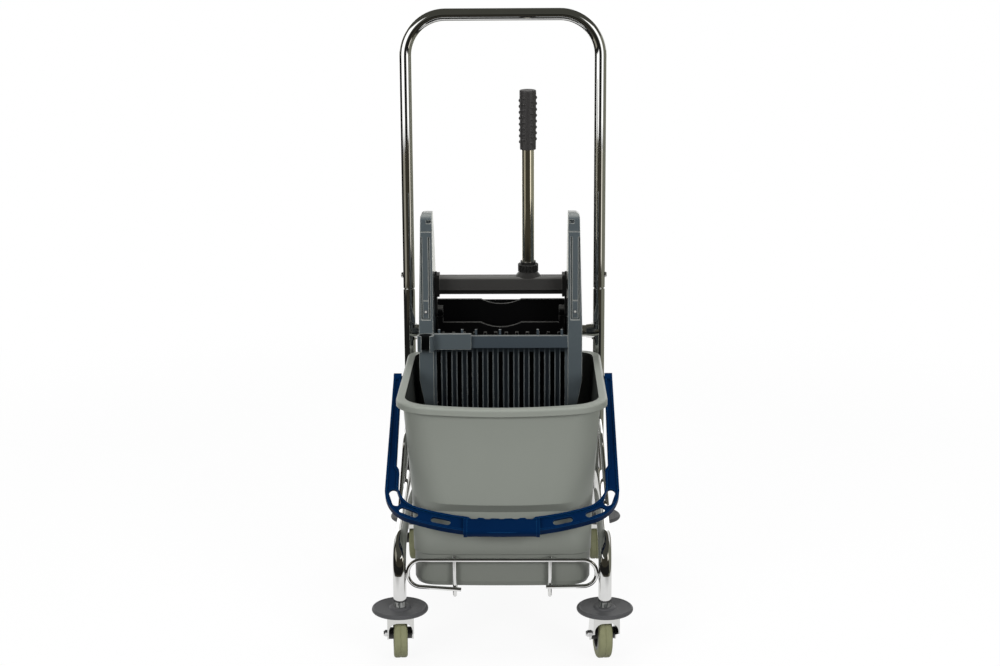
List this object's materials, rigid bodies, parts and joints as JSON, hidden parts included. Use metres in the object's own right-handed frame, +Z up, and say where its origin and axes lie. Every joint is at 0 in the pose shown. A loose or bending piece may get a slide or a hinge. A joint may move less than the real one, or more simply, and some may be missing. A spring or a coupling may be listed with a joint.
{
  "type": "mop bucket trolley",
  "caption": "Wheeled mop bucket on a chromed tube frame with a push handle, bumper casters, a swinging bail and a lever press wringer.",
  "frame": {"origin": "on the floor under the middle of the bounding box", "axes": "+Z up, -Y towards the front with the bail, +X to the right seen from the front"},
  "size_m": [0.4055, 0.5455, 0.9695],
  "materials": {
    "chromed_tube": "bright polished chrome plate",
    "chromed_fitting": "chrome plate",
    "chromed_wire": "chrome plated wire",
    "fork_steel": "plated pressed sheet",
    "steel_fastener": "zinc plated",
    "bumper_rubber": "matt grey",
    "tread_rubber": "matt olive",
    "hub_plastic": "satin grey",
    "bucket_plastic": "satin grey",
    "bail_plastic": "satin blue",
    "wringer_plastic": "satin slate",
    "press_plastic": "black",
    "lever_plastic": "satin dark grey",
    "grip_rubber": "matt dark grey"
  },
  "bodies": {
    "frame": {"arch_left": "chromed_tube", "arch_right": "chromed_tube", "upright_left": "chromed_tube", "upright_right": "chromed_tube", "cross_saddle_left": "chromed_fitting", "cross_saddle_right": "chromed_fitting", "push_handle": "chromed_tube", "rear_cross_tube": "chromed_tube", "handle_screws": "steel_fastener", "front_wire_loop": "chromed_wire", "rear_wire_loop": "chromed_wire", "cradle_wires": "chromed_wire", "side_hoop_left": "chromed_wire", "side_hoop_right": "chromed_wire", "front_left_stem": "chromed_fitting", "front_left_bumper": "bumper_rubber", "front_right_stem": "chromed_fitting", "front_right_bumper": "bumper_rubber", "rear_left_stem": "chromed_fitting", "rear_left_bumper": "bumper_rubber", "rear_right_stem": "chromed_fitting", "rear_right_bumper": "bumper_rubber"},
    "fork_front_left": {"front_left_fork": "fork_steel", "front_left_axle": "steel_fastener"},
    "wheel_front_left": {"front_left_tyre": "tread_rubber", "front_left_hub": "hub_plastic"},
    "fork_front_right": {"front_right_fork": "fork_steel", "front_right_axle": "steel_fastener"},
    "wheel_front_right": {"front_right_tyre": "tread_rubber", "front_right_hub": "hub_plastic"},
    "fork_rear_left": {"rear_left_fork": "fork_steel", "rear_left_axle": "steel_fastener"},
    "wheel_rear_left": {"rear_left_tyre": "tread_rubber", "rear_left_hub": "hub_plastic"},
    "fork_rear_right": {"rear_right_fork": "fork_steel", "rear_right_axle": "steel_fastener"},
    "wheel_rear_right": {"rear_right_tyre": "tread_rubber", "rear_right_hub": "hub_plastic"},
    "bucket": {"bucket": "bucket_plastic", "bail_stud_left": "bail_plastic", "bail_stud_right": "bail_plastic"},
    "bail": {"bail_handle": "bail_plastic"},
    "wringer": {"cheek_left": "wringer_plastic", "cheek_right": "wringer_plastic", "front_beam": "wringer_plastic", "front_grille": "wringer_plastic", "rear_plate": "press_plastic", "drain_floor": "wringer_plastic", "hook_left": "wringer_plastic", "hook_right": "wringer_plastic", "cheek_screws": "steel_fastener", "mop_clip": "wringer_plastic"},
    "lever": {"press_crossbar": "lever_plastic", "collar_nut": "lever_plastic", "lever_tube": "chromed_tube", "lever_grip": "grip_rubber", "plate_pins": "steel_fastener"},
    "press_plate": {"press_plate": "press_plastic"}
  },
  "joints": [
    {"name": "front_left_swivel", "type": "hinge", "parent": "frame", "child": "fork_front_left", "pos_m": [-0.155, -0.2299, 0.078], "axis": [0, 0, 1], "continuous": true},
    {"name": "front_left_spin", "type": "hinge", "parent": "fork_front_left", "child": "wheel_front_left", "pos_m": [-0.15701, -0.209, 0.0375], "axis": [0.9954, 0.0958, 0], "continuous": true},
    {"name": "front_right_swivel", "type": "hinge", "parent": "frame", "child": "fork_front_right", "pos_m": [0.155, -0.2299, 0.078], "axis": [0, 0, 1], "continuous": true},
    {"name": "front_right_spin", "type": "hinge", "parent": "fork_front_right", "child": "wheel_front_right", "pos_m": [0.15244, -0.20906, 0.0375], "axis": [0.9925, 0.1219, 0], "continuous": true},
    {"name": "rear_left_swivel", "type": "hinge", "parent": "frame", "child": "fork_rear_left", "pos_m": [-0.16, 0.2141, 0.078], "axis": [0, 0, 1], "continuous": true},
    {"name": "rear_left_spin", "type": "hinge", "parent": "fork_rear_left", "child": "wheel_rear_left", "pos_m": [-0.15927, 0.23509, 0.0375], "axis": [0.9994, -0.0349, 0], "continuous": true},
    {"name": "rear_right_swivel", "type": "hinge", "parent": "frame", "child": "fork_rear_right", "pos_m": [0.16, 0.2141, 0.078], "axis": [0, 0, 1], "continuous": true},
    {"name": "rear_right_spin", "type": "hinge", "parent": "fork_rear_right", "child": "wheel_rear_right", "pos_m": [0.16, 0.2351, 0.0375], "axis": [1, 0, 0], "continuous": true},
    {"name": "bucket_lift", "type": "slide", "parent": "frame", "child": "bucket", "axis": [0, 0, 1], "range_m": [0, 0.03]},
    {"name": "bail_swing", "type": "hinge", "parent": "bucket", "child": "bail", "pos_m": [0, -0.0351, 0.3965], "axis": [-1, 0, 0], "range_deg": [0, 129]},
    {"name": "wringer_lift", "type": "slide", "parent": "frame", "child": "wringer", "axis": [0, 0, 1], "range_m": [0, 0.12]},
    {"name": "lever_swing", "type": "hinge", "parent": "wringer", "child": "lever", "pos_m": [-0.004, 0.0643, 0.5295], "axis": [-1, 0, 0], "range_deg": [0, 70]},
    {"name": "plate_pivot", "type": "hinge", "parent": "lever", "child": "press_plate", "pos_m": [-0.004, 0.07056, 0.48494], "axis": [-1, 0, 0], "range_deg": [-70, 0]}
  ],
  "couplings": [
    {"joint": "plate_pivot", "follows": "lever_swing", "ratio": -1}
  ]
}
